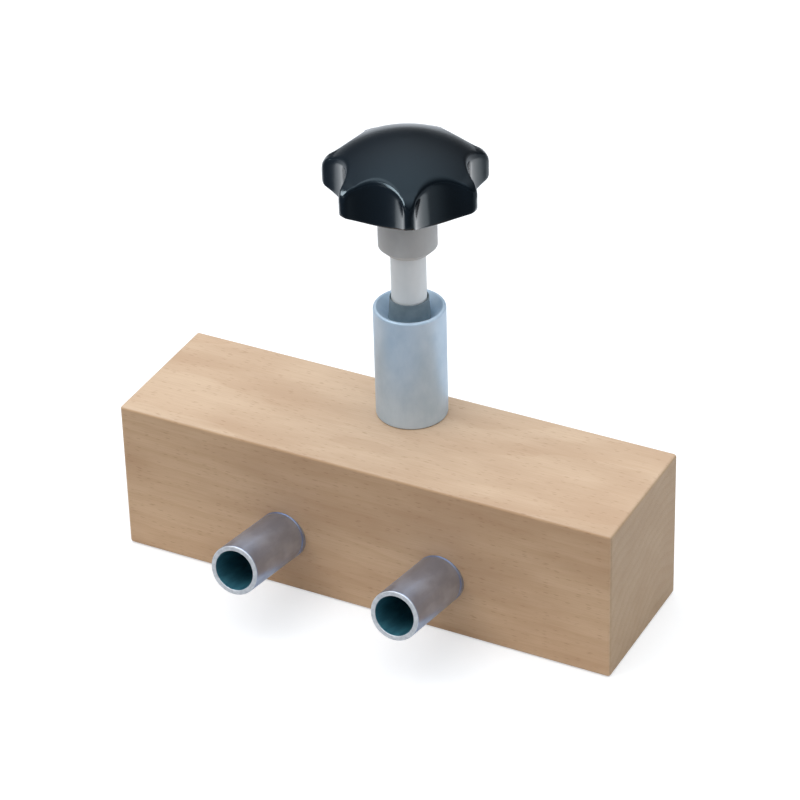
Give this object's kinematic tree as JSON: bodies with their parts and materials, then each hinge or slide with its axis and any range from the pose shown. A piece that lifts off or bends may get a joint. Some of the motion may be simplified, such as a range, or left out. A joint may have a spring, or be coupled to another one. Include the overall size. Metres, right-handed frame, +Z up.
{
  "type": "dowel joiner hold-down block",
  "caption": "Beech hold-down block that plugs in on raked tube pins and presses work with a knob-turned spindle through a guide sleeve.",
  "frame": {"origin": "centre of the beech block's underside", "axes": "+X along the block, -Y towards the tube pins, +Z up along the spindle"},
  "size_m": [0.2, 0.1121, 0.176],
  "materials": {
    "beech": "planed and oiled beech",
    "tube_steel": "bright zinc plate",
    "sleeve_steel": "bright blue-white zinc plate",
    "spindle_steel": "ground satin",
    "collar_metal": "turned, dull",
    "knob_black": "polished black thermoset",
    "wiper_rubber": "smooth nitrile",
    "bronze": "turned bronze",
    "inner_steel": "plain steel",
    "pad_steel": "turned",
    "facing_leather": "natural leather"
  },
  "bodies": {
    "base": {"block": "beech", "left_tube_pin": "tube_steel", "right_tube_pin": "tube_steel", "left_tube_plug": "inner_steel", "right_tube_plug": "inner_steel", "tube_screws": "inner_steel", "guide_sleeve": "sleeve_steel", "guide_bush": "bronze", "wiper_ring": "wiper_rubber", "spindle_nut": "bronze", "nut_washer": "inner_steel"},
    "pad": {"pressure_pad": "pad_steel", "pad_clip": "inner_steel", "pad_facing": "facing_leather"},
    "spindle": {"spindle": "spindle_steel", "collar": "collar_metal", "collar_grub_screw": "inner_steel", "star_knob": "knob_black", "knob_insert": "bronze"}
  },
  "joints": [
    {"name": "pad_slide", "type": "slide", "parent": "base", "child": "pad", "axis": [0, 0, 1], "range_m": [-0.018, 0.003]},
    {"name": "spindle_turn", "type": "hinge", "parent": "pad", "child": "spindle", "pos_m": [0, 0.01425, 0.1], "axis": [0, 0, 1], "range_deg": [-2160, 360]}
  ],
  "couplings": [
    {"joint": "pad_slide", "follows": "spindle_turn", "m_per_rad": 0.00047746}
  ]
}
